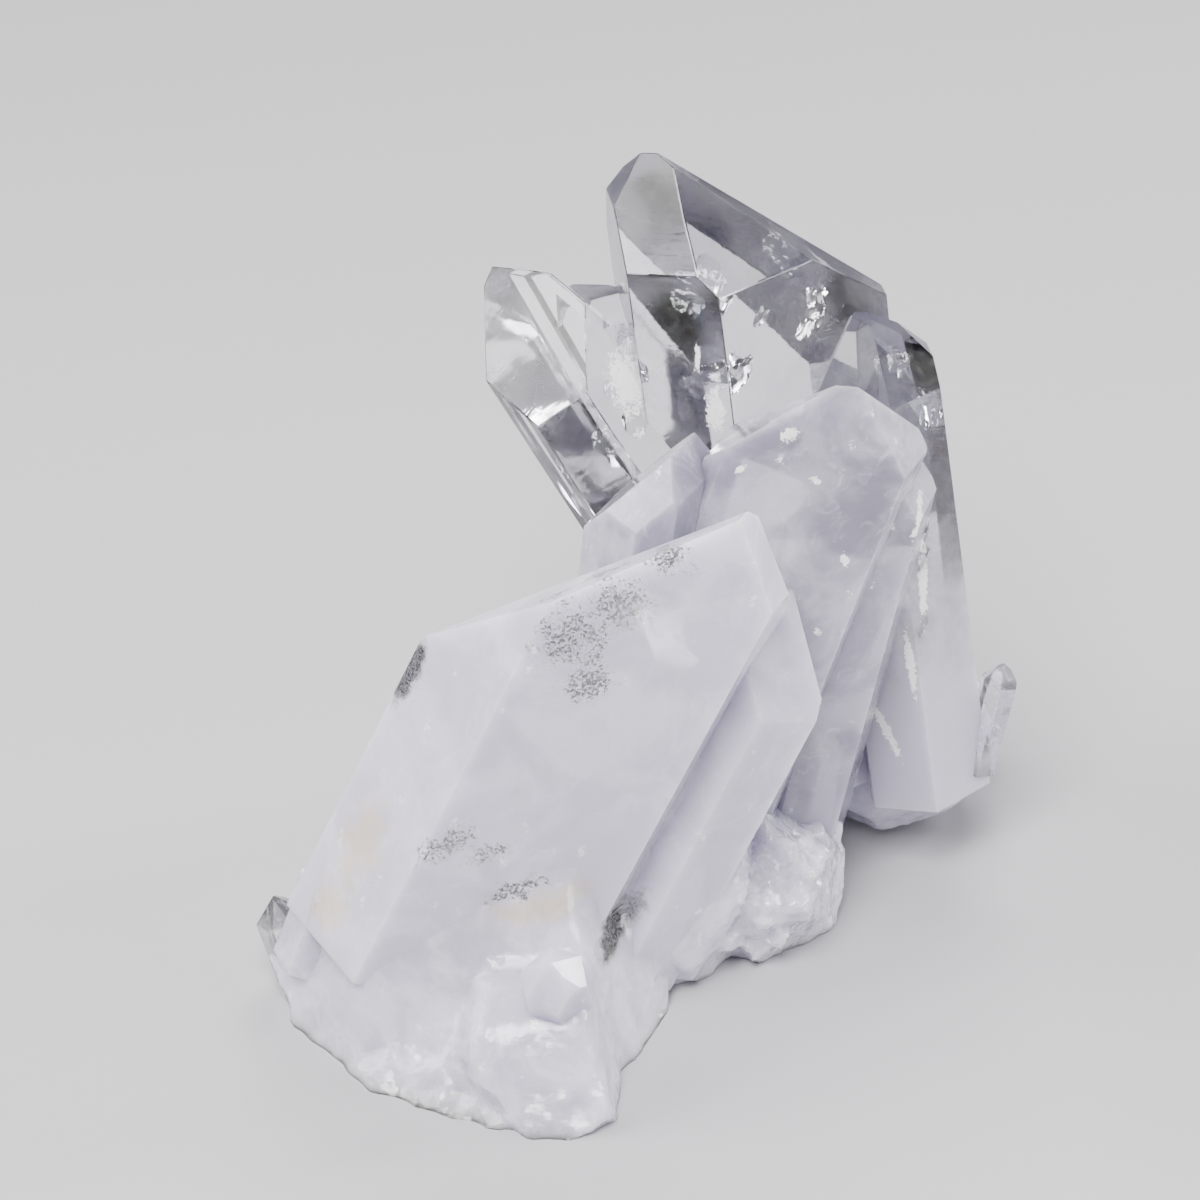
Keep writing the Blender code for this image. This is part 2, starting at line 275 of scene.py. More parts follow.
# The finishes, in the order of the piece's material slots
UPRIGHT_CLEAR, LEANING_CLEAR, FRONT_MILKY, MIDDLE_MILKY, SMALL_CLEAR, BROKEN = range(6)
FINISH_OF = {
    "front": FRONT_MILKY,
    "front_side": FRONT_MILKY,
    "behind_front": MIDDLE_MILKY,
    "main": UPRIGHT_CLEAR,
    "left": LEANING_CLEAR,
    "left_back": LEANING_CLEAR,
    "middle": MIDDLE_MILKY,
    "blade": MIDDLE_MILKY,
    "right": UPRIGHT_CLEAR,
    "back": UPRIGHT_CLEAR,
    "left_foot": BROKEN,
    "embedded": FRONT_MILKY,
}
EDGE_WEAR = 0.13  # width of the worn edges, mm
BASE_CELL = 0.5  # size of the base's finest breaks, mm
# The base eases into these points without a crease, forward of this y and between these heights
BLENDED_POINTS = ("front", "front_side")
BLEND_INSET = 0.35
BLEND_FRONT = (-12.0, 4.0, 30.0)
BLEND_STEPS = 40
# Slightly tilted facets that growth leaves on the larger faces:
# face kind and number, how far across the face the facet starts in mm along its
# level direction and its upward one, which way it falls away in degrees, and its tilt
GROWTH_FACETS = {
    "front": [("prism", 0, -6.0, -6.0, 200.0, 1.4), ("prism", 0, 5.0, 2.0, 20.0, 1.1), ("prism", 5, 0.0, 4.0, 80.0, 1.6)],
    "main": [("tip", 5, -1.0, -2.0, 250.0, 1.6), ("prism", 5, 2.0, -10.0, 300.0, 1.3), ("prism", 0, -2.0, -9.0, 260.0, 1.2)],
    "middle": [("prism", 0, 3.0, -3.0, 20.0, 1.6), ("prism", 0, -4.0, -12.0, 200.0, 1.3)],
    "left": [("tip", 0, 1.0, -2.0, 300.0, 2.0), ("prism", 0, 0.0, -6.0, 250.0, 1.6)],
    "right": [("prism", 0, 0.0, -14.0, 20.0, 1.3)],
    "back": [("prism", 1, 0.0, -8.0, 20.0, 1.5), ("prism", 2, 0.0, -5.0, 200.0, 1.5)],
}

# Cracks inside the clear points: centre and the way it faces, and radius in mm
FLAKES = [
    ((11.3, 12.0, 57.5), (-0.45, -0.60, 0.66), 3.4),
    ((9.6, 14.0, 66.0), (-0.30, -0.80, 0.50), 2.6),
    ((17.5, 16.5, 69.0), (0.20, -0.70, 0.70), 3.0),
    ((20.0, 17.0, 62.0), (-0.60, -0.60, 0.50), 3.6),
    ((15.0, 12.0, 64.0), (-0.45, -0.55, 0.70), 1.5),
    ((-8.0, 8.0, 56.0), (-0.50, -0.50, 0.70), 2.2),
    ((-11.5, 6.5, 62.0), (-0.40, -0.60, 0.70), 1.2),
    ((1.5, 13.0, 50.0), (-0.20, -0.80, 0.50), 2.6),
    ((5.0, 16.0, 57.0), (0.50, -0.60, 0.60), 2.2),
    ((2.5, 15.0, 60.0), (-0.50, -0.60, 0.60), 1.6),
    ((0.0, 12.0, 54.5), (0.20, -0.70, 0.70), 1.4),
    ((29.5, 14.0, 57.0), (-0.50, -0.60, 0.60), 2.0),
    ((32.0, 14.5, 52.0), (0.50, -0.70, 0.50), 2.2),
    ((31.5, 11.0, 40.0), (-0.70, -0.50, 0.40), 3.0),
    ((42.0, 12.0, 18.0), (-0.30, -0.80, 0.50), 0.8),
    ((18.6, -5.8, 59.8), (-0.45, -0.60, 0.66), 1.5),
    ((23.8, -3.9, 48.5), (-0.30, -0.80, 0.50), 2.0),
    ((20.4, -5.0, 54.0), (0.10, -0.80, 0.60), 1.4),
    ((32.2, 8.3, 38.5), (-0.45, -0.70, 0.50), 2.6),
    ((31.9, 7.6, 31.0), (-0.30, -0.80, 0.50), 2.2),
    ((30.2, 8.6, 22.0), (-0.45, -0.60, 0.60), 2.0),
]
FLAKE_GAP = 0.05  # width of a crack, mm
FLAKE_STEPS = 24


# Colours and nodes
def linear(hex_value):
    """An sRGB hex colour as the linear colour that a shader takes."""
    channels = [int(hex_value[i : i + 2], 16) / 255 for i in (1, 3, 5)]
    return tuple(c / 12.92 if c <= 0.04045 else ((c + 0.055) / 1.055) ** 2.4 for c in channels) + (1.0,)


def node(tree, kind, inputs=None, **settings):
    """Adds a node; each input takes a value, a socket, or a node's first output."""
    made = tree.nodes.new("ShaderNode" + kind)
    for name, value in settings.items():
        setattr(made, name, value)
    for name, value in (inputs or {}).items():
        if isinstance(value, bpy.types.Node):
            value = value.outputs[0]
        if isinstance(value, bpy.types.NodeSocket):
            tree.links.new(value, made.inputs[name])
        else:
            made.inputs[name].default_value = value
    return made


def spot(tree, place, centre, radii, turn, ragged, size, fade=0.3):
    """A ragged oval round a point of the group, 1 inside and 0 outside.

    centre and radii are in mm, turn is about the front-to-back direction in degrees,
    ragged says how far the edge wanders as a share of the radii, size how coarsely, in mm,
    and fade how soft the edge is, again as a share of the radii.
    """
    centred = node(tree, "VectorMath", {0: place, 1: centre}, operation="SUBTRACT")
    turned = node(tree, "VectorRotate", {"Vector": centred, "Angle": radians(turn)}, rotation_type="Y_AXIS")
    scaled = node(tree, "VectorMath", {0: turned, 1: radii}, operation="DIVIDE")
    length = node(tree, "VectorMath", {0: scaled}, operation="LENGTH").outputs["Value"]
    wander = node(tree, "TexNoise", {"Vector": place, "Scale": 1 / size, "Detail": 4.0, "Roughness": 0.65})
    uneven = node(tree, "Math", {0: wander, 1: 2 * ragged, 2: length}, operation="MULTIPLY_ADD")
    return node(
        tree, "MapRange",
        {"Value": uneven, "From Min": 1.05 + ragged - fade, "From Max": 1.05 + ragged, "To Min": 1.0, "To Max": 0.0},
        interpolation_type="SMOOTHSTEP",
    )


def quartz(name, look, stains_and_glints=(), clear_spots=(), milky_and_highlight_spots=(), frosted_spots=()):
    """The surface of quartz, from clear to milky, with its growth lines and grain. Sizes are in mm."""
    made = bpy.data.materials.new(name)
    made.use_nodes = True
    tree = made.node_tree
    shader = tree.nodes["Principled BSDF"]
    shader.inputs["IOR"].default_value = 1.544
    shader.inputs["Subsurface Weight"].default_value = 1.0
    shader.inputs["Subsurface Radius"].default_value = (1.0, 0.97, 1.0)
    shader.inputs["Subsurface Scale"].default_value = look["depth"] * MM
    object_place = node(tree, "TexCoord").outputs["Object"]
    place = node(tree, "VectorMath", {0: object_place, "Scale": 1 / MM}, operation="SCALE")

    # Cloudiness: soft clouds, thin veils, and a milky foot below the clear tip
    blotches = node(tree, "TexNoise", {"Vector": place, "Scale": 1 / 9, "Detail": 4.0, "Roughness": 0.6, "Distortion": 0.6})
    clouds = node(tree, "MapRange", {"Value": blotches, "From Min": 0.38, "From Max": 0.62}, interpolation_type="SMOOTHSTEP")
    threads = node(tree, "TexNoise", {"Vector": place, "Scale": 1 / 2.2, "Detail": 4.0, "Roughness": 0.65, "Distortion": 1.2})
    veils = node(
        tree, "MapRange", {"Value": threads, "From Min": 0.54, "From Max": 0.74, "To Max": look["veils"]},
        interpolation_type="SMOOTHSTEP",
    )
    low, high = look["cloudy"]
    cloudy = node(tree, "MapRange", {"Value": clouds, "To Min": low, "To Max": high})
    cloudy = node(tree, "Math", {0: cloudy, 1: veils}, operation="ADD", use_clamp=True)
    milky_below, clear_from = look["foot"]
    height = node(tree, "SeparateXYZ", {"Vector": place}).outputs["Z"]
    edge = node(tree, "TexNoise", {"Vector": place, "Scale": 1 / 6, "Detail": 5.0, "Roughness": 0.6})
    uneven_height = node(tree, "Math", {0: edge, 1: 24.0, 2: height}, operation="MULTIPLY_ADD")
    foot = node(
        tree, "MapRange",
        {"Value": uneven_height, "From Min": milky_below + 12, "From Max": clear_from + 12, "To Min": 0.86, "To Max": 0.0},
        interpolation_type="SMOOTHSTEP",
    )
    cloudy = node(tree, "Math", {0: cloudy, 1: foot}, operation="MAXIMUM")
    specks = node(tree, "TexNoise", {"Vector": place, "Scale": 1 / 0.32, "Detail": 4.0, "Roughness": 0.75})
    windows = []
    for centre, radii, turn in clear_spots:
        clear = spot(tree, place, centre, radii, turn, 0.45, 1.3, 0.5)
        pitted = node(tree, "MapRange", {"Value": specks, "From Min": 0.35, "From Max": 0.6, "To Min": 1.0, "To Max": 0.75})
        windows.append(node(tree, "Math", {0: clear, 1: pitted}, operation="MULTIPLY"))
        kept = node(tree, "Math", {0: 1.0, 1: windows[-1]}, operation="SUBTRACT")
        cloudy = node(tree, "Math", {0: cloudy, 1: kept}, operation="MULTIPLY")
    # White spots, full cloudiness and white colour: a few milky fracture veils, most of them painted highlights and
    # glints
    bright = None
    for centre, radii, turn in milky_and_highlight_spots:
        milky = spot(tree, place, centre, radii, turn, 0.7, 0.9, 0.7)
        bright = milky if bright is None else node(tree, "Math", {0: bright, 1: milky}, operation="MAXIMUM")
    if bright is not None:
        bright = node(tree, "Math", {0: bright, 1: 0.4, 2: specks}, operation="MULTIPLY_ADD")
        bright = node(
            tree, "MapRange", {"Value": bright, "From Min": 0.68, "From Max": 0.8}, interpolation_type="SMOOTHSTEP"
        )
        cloudy = node(tree, "Math", {0: cloudy, 1: bright}, operation="MAXIMUM")

    # Frost: fine etched specks, thick in the middle of a spot, and cut off where a facet ends
    frost = None
    for centre, radii, turn in frosted_spots:
        frosted = spot(tree, place, centre, radii, turn, 0.9, 2.6, 0.9)
        frost = frosted if frost is None else node(tree, "Math", {0: frost, 1: frosted}, operation="MAXIMUM")
    if frost is not None:
        across = node(tree, "VectorMath", {0: place, 1: FROST_EDGE[0]}, operation="DOT_PRODUCT").outputs["Value"]
        inside = node(tree, "MapRange", {"Value": across, "From Min": FROST_EDGE[1] - 0.3, "From Max": FROST_EDGE[1]})
        frost = node(tree, "Math", {0: frost, 1: inside}, operation="MULTIPLY")
        thick = node(tree, "Math", {0: frost, 1: 0.3, 2: specks}, operation="MULTIPLY_ADD")
        etched = node(
            tree, "MapRange", {"Value": thick, "From Min": 0.72, "From Max": 0.84}, interpolation_type="SMOOTHSTEP"
        )
        kept = node(tree, "Math", {0: etched, 1: -0.85, 2: 1.0}, operation="MULTIPLY_ADD")
        cloudy = node(tree, "Math", {0: cloudy, 1: kept}, operation="MULTIPLY")
    # Small white flecks just under the surface, in about a third of the places: partly inclusions, partly painted
    # glints
    drawn_out = node(tree, "VectorMath", {0: place, 1: (1.0, 1.0, 0.6)}, operation="MULTIPLY")
    bent = node(tree, "VectorMath", {0: threads.outputs["Color"], 1: (2.2, 2.2, 2.2), 2: drawn_out}, operation="MULTIPLY_ADD")
    cells = node(tree, "TexVoronoi", {"Vector": bent, "Scale": 1 / 2.4})
    ragged = node(tree, "Math", {0: specks, 1: 0.7, 2: cells}, operation="MULTIPLY_ADD")
    near = node(
        tree, "MapRange", {"Value": ragged, "From Min": 0.43, "From Max": 0.52, "To Min": look["flecks"], "To Max": 0.0},
        interpolation_type="SMOOTHSTEP",
    )
    draw = node(tree, "SeparateXYZ", {"Vector": cells.outputs["Color"]})
    chosen = node(tree, "Math", {0: draw, 1: 0.65}, operation="GREATER_THAN")
    flecks = node(tree, "Math", {0: near, 1: chosen}, operation="MULTIPLY")
    cloudy = node(tree, "Math", {0: cloudy, 1: flecks}, operation="MAXIMUM")
    transmission = node(tree, "Math", {0: 1.0, 1: cloudy}, operation="SUBTRACT", use_clamp=True)
    tree.links.new(transmission.outputs[0], shader.inputs["Transmission Weight"])

    body = node(
        tree, "Mix", {0: clouds, 6: linear(look["colors"][0]), 7: linear(look["colors"][1])}, data_type="RGBA"
    ).outputs[2]
    body = node(tree, "Mix", {0: foot, 6: body, 7: linear(look["foot_color"])}, data_type="RGBA").outputs[2]
    body = node(tree, "Mix", {0: flecks, 6: body, 7: linear("#FBFAFC")}, data_type="RGBA").outputs[2]
    # Real stains, and on the upright points a painted rainbow glint, mixed into the base colour
    for color, centre, radii, turn in stains_and_glints:
        stain_or_glint = spot(tree, place, centre, radii, turn, 0.8, 1.8, 0.8)
        amount = node(tree, "Math", {0: stain_or_glint, 1: 0.75}, operation="MULTIPLY")
        body = node(tree, "Mix", {0: amount, 6: body, 7: linear(color)}, data_type="RGBA").outputs[2]
    # The white spots' colour: milky veils and painted highlights
    if bright is not None:
        body = node(tree, "Mix", {0: bright, 6: body, 7: linear("#FBFAFC")}, data_type="RGBA").outputs[2]
    for opened in windows + ([etched] if frost is not None else []):
        body = node(tree, "Mix", {0: opened, 6: body, 7: linear("#F4F4F5")}, data_type="RGBA").outputs[2]
    tree.links.new(body, shader.inputs["Base Color"])

    # Gloss: clean faces with duller smears
    smudges = node(tree, "TexNoise", {"Vector": place, "Scale": 1 / 3.1, "Detail": 4.0, "Roughness": 0.6, "Distortion": 0.8})
    glossy, dull = look["rough"]
    smeared = node(
        tree, "MapRange",
        {"Value": smudges, "From Min": 0.5, "From Max": 0.75, "To Min": glossy, "To Max": dull},
        interpolation_type="SMOOTHSTEP",
    )
    if frost is not None:
        etched_dull = node(tree, "Math", {0: etched, 1: 0.3}, operation="MULTIPLY")
        smeared = node(tree, "Math", {0: smeared, 1: etched_dull}, operation="MAXIMUM")
    tree.links.new(smeared.outputs[0], shader.inputs["Roughness"])

    # Relief: growth lines square to the long axis, fine grain, and broad waves
    along = node(tree, "VectorMath", {0: place, 1: look["axis"]}, operation="DOT_PRODUCT").outputs["Value"]
    steps = node(tree, "Math", {0: along, 1: 1.5}, operation="MULTIPLY")
    stretched = node(tree, "CombineXYZ", {"X": steps})
    drift = node(tree, "VectorMath", {0: place, "Scale": 0.07}, operation="SCALE")
    lined_place = node(tree, "VectorMath", {0: stretched, 1: drift}, operation="ADD")
    lines = node(tree, "TexNoise", {"Vector": lined_place, "Scale": 1.0, "Detail": 3.0, "Roughness": 0.6})
    grain = node(tree, "TexNoise", {"Vector": place, "Scale": 1 / 0.7, "Detail": 5.0, "Roughness": 0.65})
    waves = node(tree, "TexNoise", {"Vector": place, "Scale": 1 / 6, "Detail": 2.0})
    relief = node(tree, "Math", {0: lines, 1: look["lines"]}, operation="MULTIPLY")
    relief = node(tree, "Math", {0: grain, 1: look["grain"], 2: relief}, operation="MULTIPLY_ADD")
    relief = node(tree, "Math", {0: waves, 1: look["waves"], 2: relief}, operation="MULTIPLY_ADD")
    normal = node(tree, "Bump", {"Height": relief, "Strength": 1.0, "Distance": MM})
    if look["sparkle"]:
        # Each broken grain looks its own way, most of all on the sugary lobe
        grains = node(tree, "TexVoronoi", {"Vector": place, "Scale": 1 / 0.8})
        sugary = spot(tree, place, LOBE_CENTRE - ORIGIN, SUGARY_RADII, 0.0, 0.4, 2.5, 0.6)
        loose = node(tree, "Math", {0: sugary, 1: look["sparkle"][1], 2: look["sparkle"][0]}, operation="MULTIPLY_ADD")
        swing = node(tree, "VectorMath", {0: grains.outputs["Color"], 1: (0.5, 0.5, 0.5)}, operation="SUBTRACT")
        swing = node(tree, "VectorMath", {0: swing, "Scale": loose}, operation="SCALE")
        swung = node(tree, "VectorMath", {0: normal, 1: swing}, operation="ADD")
        normal = node(tree, "VectorMath", {0: swung}, operation="NORMALIZE")
    tree.links.new(normal.outputs[0], shader.inputs["Normal"])
    return made


# Each spot is a centre, half sizes and a turn about the front-to-back direction, in mm and degrees,
# measured from the model's origin.
FROSTED_SPOTS = [
    ((-7.6, -22.5, 48.0), (6.2, 8.0, 6.4), 0.0),
    ((-5.4, -22.0, 41.8), (4.4, 8.0, 4.0), 0.0),
    ((-2.6, -22.0, 51.2), (6.6, 8.0, 5.0), -35.0),
    ((1.6, -21.7, 55.6), (5.6, 7.0, 3.0), -25.0),
    ((-19.3, -23.2, 24.6), (5.6, 7.0, 2.8), 35.0),
    ((-12.5, -22.6, 18.8), (6.4, 7.0, 2.0), 20.0),
    ((-15.2, -23.0, 23.2), (4.6, 7.0, 2.2), 25.0),
]
# The frost ends to the left in a straight line: the direction across it, and where it lies
FROST_EDGE = ((0.837, 0.146, -0.433), -33.3)
CLEAR_WINDOWS = [
    ((-2.2, -19.6, 12.4), (4.6, 6.0, 2.2), 45.0),
    ((-22.8, -14.8, 39.0), (1.1, 4.0, 4.4), -24.0),
]
WARM = "#DACEC0"
WARM_STAINS = [
    (WARM, (-10.2, -22.5, 17.0), (7.0, 7.0, 2.4), 15.0),
    (WARM, (-27.6, -18.5, 22.0), (2.4, 6.0, 6.0), -24.0),
    (WARM, (-30.6, -17.0, 14.0), (3.0, 6.0, 5.0), -24.0),
]
# A painted rainbow glint off a thin crack in the upright point: green, orange and blue patches in the base colour
MAIN_RAINBOW_GLINTS = [
    ("#D9E2D2", (2.6, 8.6, 66.2), (2.4, 4.0, 3.0), 0.0),
    ("#EBCDB4", (4.3, 7.8, 64.4), (0.7, 3.0, 0.8), 0.0),
    ("#BFD0F5", (5.5, 7.4, 66.4), (0.5, 3.0, 2.6), 0.0),
]
# Painted highlights: white patches in the upright point where light glances off inside it
MAIN_PAINTED_HIGHLIGHTS = [
    ((7.1, 6.5, 56.2), (1.3, 4.0, 3.4), 0.0),
    ((5.3, 7.4, 62.0), (0.4, 3.0, 2.0), 0.0),
]
# The bright curved streaks down the blade's right edge and the point behind it: fracture veils painted white, with a
# painted highlight for their shine
BLADE_VEILS_AND_HIGHLIGHTS = [
    ((28.5, 8.0, 35.8), (0.7, 5.0, 6.8), 3.0),
    ((27.4, 7.0, 27.0), (0.7, 5.0, 6.0), 10.0),
    ((25.2, 8.0, 18.4), (0.7, 5.0, 5.4), 26.0),
    ((27.1, 2.6, 46.6), (0.7, 5.0, 3.6), -16.0),
]
# Painted highlights and glints: small white patches on the middle point
MIDDLE_PAINTED_HIGHLIGHTS = [
    ((13.9, -6.0, 60.4), (1.3, 4.0, 1.1), 20.0),
    ((16.5, -5.6, 55.1), (1.0, 4.0, 0.6), -30.0),
    ((19.7, -4.6, 45.7), (0.6, 4.0, 1.3), 20.0),
    ((9.2, -6.8, 56.9), (0.9, 4.0, 0.6), 30.0),
]
# Painted highlights: white patches on the leaning points
LEFT_PAINTED_HIGHLIGHTS = [
    ((-18.5, 2.6, 62.0), (1.0, 4.0, 0.7), 0.0),
    ((-1.5, 12.0, 57.0), (3.0, 6.0, 5.0), 0.0),
]

CLEAR = {
    "colors": ("#F4F3FA", "#FAFAFD"), "foot_color": "#C4C1D0", "axis": (-0.13, 0.07, 0.99), "cloudy": (0.0, 0.05), "veils": 0.05,
    "foot": (18.0, 46.0), "rough": (0.012, 0.07), "lines": 0.012, "grain": 0.004, "waves": 0.03,
    "sparkle": None, "depth": 3.0, "flecks": 0.0,
}
MILKY = {
    "colors": ("#D3D0DE", "#DFDDE7"), "foot_color": "#D3D0DE", "axis": (0.42, 0.02, 0.91), "cloudy": (0.82, 0.93), "veils": 0.08,
    "foot": (10.0, 100.0), "rough": (0.06, 0.2), "lines": 0.012, "grain": 0.010, "waves": 0.05,
    "sparkle": None, "depth": 4.0, "flecks": 0.6,
}
FINISHES = [
    # Rock crystal, clear above and milky at the foot: dark and bright patches seen through it, with painted highlights
    # and a painted rainbow glint
    quartz("clear rock crystal of the upright points", CLEAR, MAIN_RAINBOW_GLINTS, (), MAIN_PAINTED_HIGHLIGHTS + BLADE_VEILS_AND_HIGHLIGHTS),
    # The same on the points that lean to the left, whose growth lines lean with them, with painted highlights
    quartz(
        "clear rock crystal of the leaning points", CLEAR | {"axis": (-0.55, 0.39, 0.74), "foot": (14.0, 34.0)},
        (), (), LEFT_PAINTED_HIGHLIGHTS,
    ),
    # Milky quartz: light sinks in and comes back soft, under glassy faces
    quartz("milky quartz of the front point", MILKY, WARM_STAINS, CLEAR_WINDOWS, (), FROSTED_SPOTS),
    # Less milky and greyer, so that the front point stands out from it, with painted highlights and fracture veils
    # with painted shine
    quartz(
        "half-clear quartz of the middle points",
        MILKY | {"colors": ("#BAB7C6", "#CBC8D4"), "foot_color": "#BAB7C5", "axis": (0.30, 0.0, 0.95), "cloudy": (0.5, 0.68),
                 "veils": 0.25, "flecks": 0.9, "foot": (5.0, 40.0), "rough": (0.05, 0.16)},
        (), (), MIDDLE_PAINTED_HIGHLIGHTS + BLADE_VEILS_AND_HIGHLIGHTS,
    ),
    # Small late-grown points with a little cloud
    quartz(
        "half-clear quartz of the small points",
        CLEAR | {"axis": (0.1, -0.3, 0.95), "cloudy": (0.06, 0.3), "veils": 0.25, "foot": (-20.0, 10.0),
                 "rough": (0.02, 0.1)},
    ),
    # Broken quartz: fine steps that catch the light like wet sugar
    quartz(
        "broken milky quartz of the base",
        MILKY | {"foot": (-20.0, 40.0), "rough": (0.08, 0.28), "lines": 0.0, "grain": 0.05, "sparkle": (0.12, 1.3),
                 "cloudy": (0.78, 0.93)},
        WARM_STAINS, CLEAR_WINDOWS[:1], (), FROSTED_SPOTS[4:],
    ),
]


# Shapes
def mesh_object(name, mesh_builder, finishes=FINISHES):
    """A mesh object holding what mesh_builder made."""
    mesh_builder.normal_update()
    mesh = bpy.data.meshes.new(name)
    for finish in finishes:
        mesh.materials.append(finish)
    mesh_builder.to_mesh(mesh)
    mesh_builder.free()
    obj = bpy.data.objects.new(name, mesh)
    bpy.context.scene.collection.objects.link(obj)
    return obj


def axis_frame(lean):
    """The long axis and two directions square to it."""
    along = Vector((tan(radians(lean[0])), tan(radians(lean[1])), 1.0)).normalized()
    side = Vector((1.0, 0.0, 0.0))
    side = (side - side.dot(along) * along).normalized()
    return along, side, along.cross(side)


def cut_away(mesh_builder, point, normal):
    """Removes what lies beyond a plane and closes the cut."""
    geometry = mesh_builder.verts[:] + mesh_builder.edges[:] + mesh_builder.faces[:]
    cut = bmesh.ops.bisect_plane(
        mesh_builder, geom=geometry, plane_co=point, plane_no=normal, clear_outer=True
    )
    rim = [item for item in cut["geom_cut"] if isinstance(item, bmesh.types.BMEdge)]
    if rim:
        bmesh.ops.contextual_create(mesh_builder, geom=rim)


def growth_facet(block, centre, along, outward, distance, facet):
    """Shaves a thin wedge off one face, as slightly uneven growth leaves it."""
    level, upward, falls, tilt = facet
    sideways = outward.cross(along).normalized()
    uphill = sideways.cross(outward).normalized()
    start = centre + distance * outward + level * sideways + upward * uphill
    falling = cos(radians(falls)) * sideways + sin(radians(falls)) * uphill
    cut_away(block, start, cos(radians(tilt)) * outward + sin(radians(tilt)) * falling)


def crystal(name, shape, finish, inset=0.0):
    """A six-sided point with its tip faces, cut from a block; inset makes it slimmer all round."""
    along, side, across = axis_frame(shape["lean"])
    centre = Vector(shape["centre"])
    block = bmesh.new()
    bmesh.ops.create_cube(block, size=BLANK_SIDE, matrix=Matrix.Translation(centre))
    tilts = shape.get("tip_tilt", {})
    planes = {}
    for index in range(6):
        angle = radians(shape["turn"]) + index * FACE_STEP
        outward = cos(angle) * side + sin(angle) * across
        tilt = radians(tilts.get(index, TIP_FACE_TILT))
        upward = sin(tilt) * outward + cos(tilt) * along
        planes["prism", index] = (outward, shape["prism"][index])
        planes["tip", index] = (upward, shape["tip"][index])
    for outward, distance in planes.values():
        cut_away(block, centre + (distance - inset) * outward, outward)
    for kind, index, *facet in GROWTH_FACETS.get(name, []):
        growth_facet(block, centre, along, *planes[kind, index], facet)
    for direction, distance in shape.get("breaks", []):
        outward = Vector(direction).normalized()
        cut_away(block, centre + (distance - inset) * outward, outward)
    cut_away(block, centre - shape["root"] * along, -along)
    if not inset:
        bmesh.ops.bevel(
            block, geom=block.edges[:], offset=EDGE_WEAR, segments=2, profile=0.5,
            affect="EDGES", material=-1, clamp_overlap=True,
        )
    bmesh.ops.triangulate(block, faces=block.faces)
    for face in block.faces:
        face.material_index = finish
    return mesh_object("point_" + name, block)


def flake(name, centre, facing, radius):
    """A thin wavy crack to cut inside a clear point, where light glances off it."""
    uneven = Random(name)
    sheet = bmesh.new()
    bmesh.ops.create_grid(sheet, x_segments=FLAKE_STEPS, y_segments=FLAKE_STEPS, size=radius)
    outside = [
        vert for vert in sheet.verts
        if vert.co.length > radius * (0.75 + 0.4 * noise.noise(vert.co / radius * 1.5 + Vector(centre)))
    ]
    bmesh.ops.delete(sheet, geom=outside, context="VERTS")
    turn = Vector(facing).to_track_quat("Z", "Y").to_matrix() @ Matrix.Rotation(uneven.uniform(0, pi), 3, "Z")
    for vert in sheet.verts:
        wave = 0.16 * radius * noise.noise(vert.co / radius * 1.6 + Vector(centre))
        vert.co = Vector(centre) + turn @ (vert.co + Vector((0, 0, wave)))
    bmesh.ops.recalc_face_normals(sheet, faces=sheet.faces)
    bmesh.ops.solidify(sheet, geom=sheet.faces[:], thickness=FLAKE_GAP)
    bmesh.ops.recalc_face_normals(sheet, faces=sheet.faces)
    bmesh.ops.triangulate(sheet, faces=sheet.faces)
    for face in sheet.faces:
        face.material_index = UPRIGHT_CLEAR
    return mesh_object(name, sheet)


def broken_mass(name, centre, half_sizes, faces, breaks):
    """A mass with flat breaks around a rounded shape, and the broad breaks given."""
    middle = Vector(centre)
    uneven = Random(name)
    start = uneven.uniform(0, 2 * pi)
    block = bmesh.new()
    bmesh.ops.create_cube(block, size=BLANK_SIDE, matrix=Matrix.Translation(middle))
    for index in range(faces):
        height = 1 - 2 * (index + 0.5) / faces
        ring = (1 - height * height) ** 0.5
        angle = start + index * GOLDEN_ANGLE + uneven.uniform(-MASS_SWING, MASS_SWING)
        outward = Vector((ring * cos(angle), ring * sin(angle), height))
        reach = Vector(a * b for a, b in zip(outward, half_sizes)).length
        cut_away(block, middle + outward * reach * (1 - uneven.uniform(0, MASS_JITTER)), outward)
    for direction, distance in breaks:
        outward = Vector(direction).normalized()
        cut_away(block, outward * distance, outward)
    bmesh.ops.triangulate(block, faces=block.faces)
    for face in block.faces:
        face.material_index = BROKEN
    return mesh_object(name, block)


def chips(base):
    """Small broken grains set into the base's surface, first all round it and then on the lobe."""
    surface = BVHTree.FromPolygons(
        [vert.co.copy() for vert in base.data.vertices],
        [tuple(polygon.vertices) for polygon in base.data.polygons],
    )
    uneven = Random("chips")
    made = []
    for place, count in CHIPS.items():
        for number in range(count):
            turn = uneven.uniform(0, 2 * pi)
            if place == "around":
                aim = Vector([uneven.uniform(*spread) for spread in CHIP_AIMS])
            else:
                aim = LOBE_CENTRE
            outward = Vector((cos(turn), sin(turn), uneven.uniform(*CHIP_RISE[place]))).normalized()
            hit, normal = surface.ray_cast(aim + outward * BLANK_SIDE, -outward)[:2]
            if hit is None or (hit.y < SMOOTH_FRONT[0] and hit.z > SMOOTH_FRONT[1]):
                continue
            size = uneven.uniform(*CHIP_HALF_SIZE)
            half_sizes = [size * uneven.uniform(*CHIP_STRETCH) for _ in range(3)]
            centre = hit - normal * size * CHIP_SINK
            made.append(broken_mass(f"chip_{place}_{number}", centre, half_sizes, CHIP_FACES, ()))
    return made


def applied(obj):
    """The object's mesh with its modifiers applied."""
    bpy.context.view_layer.update()
    graph = bpy.context.evaluated_depsgraph_get()
    return bpy.data.meshes.new_from_object(obj.evaluated_get(graph))


